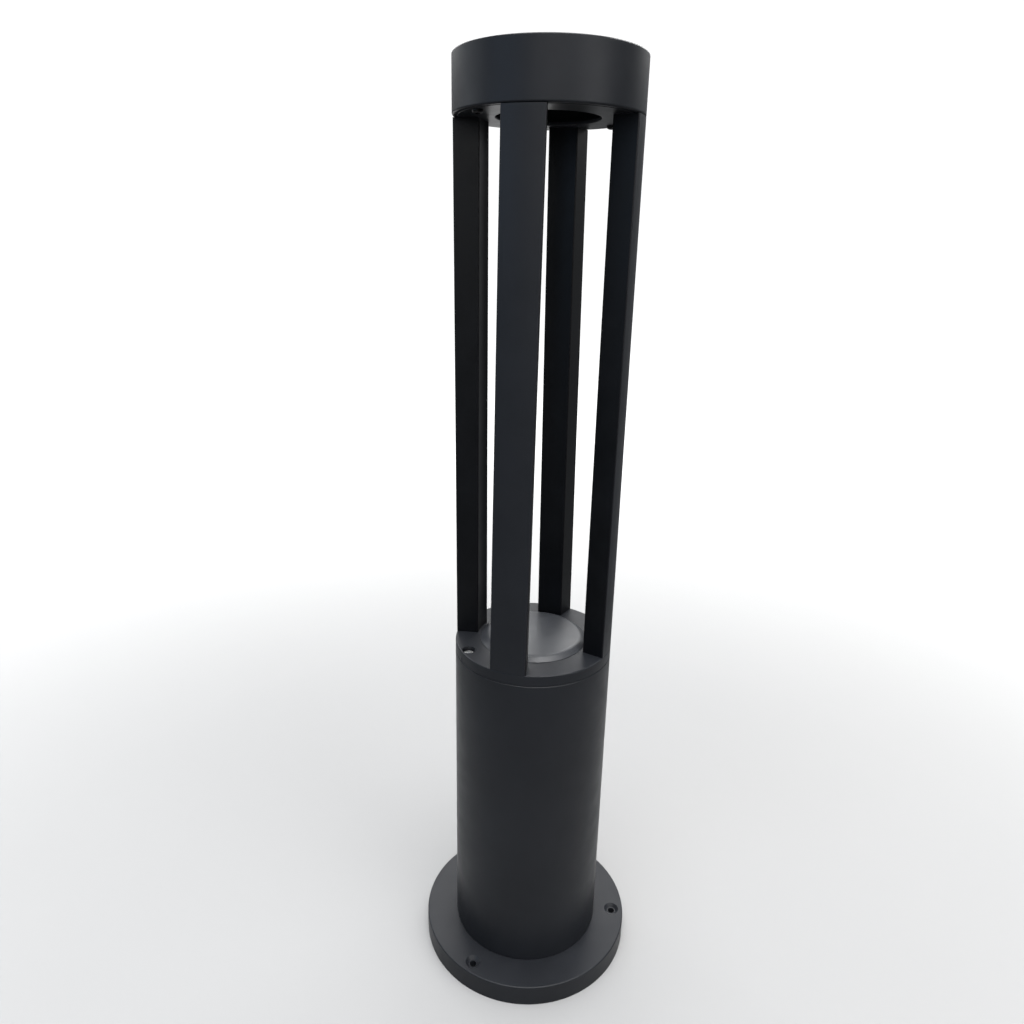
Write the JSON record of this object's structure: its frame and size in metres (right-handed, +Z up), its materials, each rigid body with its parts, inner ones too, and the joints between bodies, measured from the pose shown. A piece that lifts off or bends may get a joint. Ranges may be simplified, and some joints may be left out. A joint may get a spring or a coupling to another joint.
{
  "type": "bollard light",
  "caption": "Round garden bollard light: floor flange, plain tube, lantern of curved posts over a low reflector dome, and a round downlight head.",
  "frame": {"origin": "centre of the flange underside, on the ground", "axes": "+Z up along the tube; -Y is the front, midway between two flange holes; posts on the diagonals"},
  "size_m": [0.164, 0.164, 0.65],
  "materials": {
    "anthracite_paint": "satin anthracite powder coat",
    "dome_paint": "semi-gloss dark grey coat",
    "black_rubber": "matt black",
    "blackened_steel": "blackened",
    "stainless": "stainless",
    "black_plastic": "matt black",
    "clear_glass": "clear",
    "bright_aluminium": "spun and polished",
    "white_board": "white solder mask on aluminium",
    "phosphor": "yellow phosphor",
    "white_plastic": "matt white",
    "lead_jacket": "matt black",
    "zinc_steel": "zinc plated",
    "brass_screw": "plain"
  },
  "bodies": {
    "root": {"base_flange": "anthracite_paint", "base_gasket": "black_rubber", "cable_grommet": "black_rubber", "lower_tube": "anthracite_paint", "tube_screws": "stainless", "collar": "anthracite_paint", "collar_gasket": "black_rubber", "collar_screws": "stainless", "reflector_dome": "dome_paint", "dome_screws": "stainless", "post_front_left": "anthracite_paint", "post_front_right": "anthracite_paint", "post_back_right": "anthracite_paint", "post_back_left": "anthracite_paint", "post_foot_screws": "stainless", "post_head_screws": "stainless", "head_plate": "anthracite_paint", "head_gasket": "black_rubber", "head_cap": "anthracite_paint", "head_screws": "blackened_steel", "lens_holder": "black_plastic", "lens_gasket": "black_rubber", "lens": "clear_glass", "reflector_cup": "bright_aluminium", "optic_screws": "stainless", "led_board": "white_board", "led_source": "phosphor", "board_screws": "stainless", "lead_connector": "white_plastic", "internal_lead": "lead_jacket", "lead_bush": "black_rubber", "gear_tray": "zinc_steel", "tray_screws": "stainless", "led_driver": "white_plastic", "driver_screws": "stainless", "terminal_block": "white_plastic", "driver_lead": "lead_jacket", "earth_screw": "brass_screw"}
  },
  "joints": []
}
